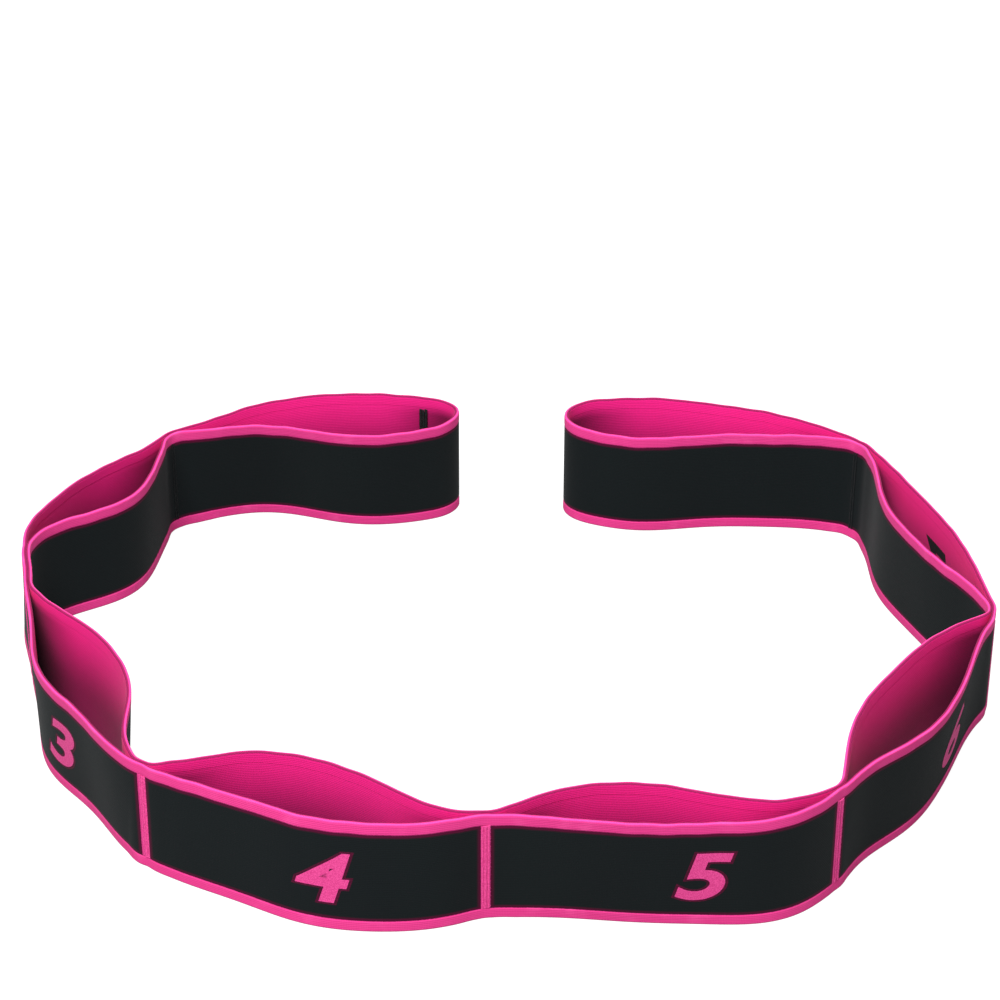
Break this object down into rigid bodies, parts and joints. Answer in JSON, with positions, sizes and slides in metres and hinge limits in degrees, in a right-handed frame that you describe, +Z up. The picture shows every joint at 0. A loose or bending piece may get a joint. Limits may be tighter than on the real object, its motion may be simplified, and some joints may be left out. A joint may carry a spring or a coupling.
{
  "type": "stretching strap",
  "caption": "Elastic webbing strap sewn into a row of hand and foot loops, standing on its long edge in an open C, with a hinge at every seam.",
  "frame": {"origin": "middle of the strap's outline in plan, on the surface that it stands on", "axes": "+Z up along the band's width, +Y from the closed front of the C towards its open back, +X towards the eighth loop's side"},
  "size_m": [0.3259, 0.2536, 0.04],
  "materials": {
    "webbing": "woven elastic webbing, black face with rose-pink edges and a rose-pink back",
    "pink_thread": "twisted sewing thread",
    "black_thread": "twisted sewing thread"
  },
  "bodies": {
    "loop_1": {"band_outer_1": "webbing", "band_inner_1": "webbing", "end_join_thread": "pink_thread"},
    "loop_2": {"band_outer_2": "webbing", "band_inner_2": "webbing", "seam_thread_outer_1_2": "pink_thread", "seam_thread_inner_1_2": "black_thread"},
    "loop_3": {"band_outer_3": "webbing", "band_inner_3": "webbing", "seam_thread_outer_2_3": "pink_thread", "seam_thread_inner_2_3": "black_thread"},
    "loop_4": {"band_outer_4": "webbing", "band_inner_4": "webbing", "seam_thread_outer_3_4": "pink_thread", "seam_thread_inner_3_4": "black_thread", "seam_thread_outer_4_5": "pink_thread", "seam_thread_inner_4_5": "black_thread"},
    "loop_5": {"band_outer_5": "webbing", "band_inner_5": "webbing", "seam_thread_outer_5_6": "pink_thread", "seam_thread_inner_5_6": "black_thread"},
    "loop_6": {"band_outer_6": "webbing", "band_inner_6": "webbing", "seam_thread_outer_6_7": "pink_thread", "seam_thread_inner_6_7": "black_thread"},
    "loop_7": {"band_outer_7": "webbing", "band_inner_7": "webbing", "seam_thread_outer_7_8": "pink_thread", "seam_thread_inner_7_8": "black_thread"},
    "loop_8": {"band_loop_8": "webbing"}
  },
  "joints": [
    {"name": "seam_1_2", "type": "hinge", "parent": "loop_2", "child": "loop_1", "pos_m": [-0.11331, 0.10064, 0.02], "axis": [0, 0, 1], "range_deg": [-38, 58]},
    {"name": "seam_2_3", "type": "hinge", "parent": "loop_3", "child": "loop_2", "pos_m": [-0.15579, 0.00822, 0.02], "axis": [0, 0, 1], "range_deg": [-35, 48.1]},
    {"name": "seam_3_4", "type": "hinge", "parent": "loop_4", "child": "loop_3", "pos_m": [-0.11168, -0.09253, 0.02], "axis": [0, 0, 1], "range_deg": [-5, 51.5]},
    {"name": "seam_4_5", "type": "hinge", "parent": "loop_4", "child": "loop_5", "pos_m": [-0.00086, -0.11968, 0.02], "axis": [0, 0, -1], "range_deg": [-5, 20]},
    {"name": "seam_5_6", "type": "hinge", "parent": "loop_5", "child": "loop_6", "pos_m": [0.10556, -0.10501, 0.02], "axis": [0, 0, -1], "range_deg": [-5, 51.3]},
    {"name": "seam_6_7", "type": "hinge", "parent": "loop_6", "child": "loop_7", "pos_m": [0.16152, -0.00977, 0.02], "axis": [0, 0, -1], "range_deg": [-35, 49.4]},
    {"name": "seam_7_8", "type": "hinge", "parent": "loop_7", "child": "loop_8", "pos_m": [0.12525, 0.0949, 0.02], "axis": [0, 0, -1], "range_deg": [-38, 61.8]}
  ]
}
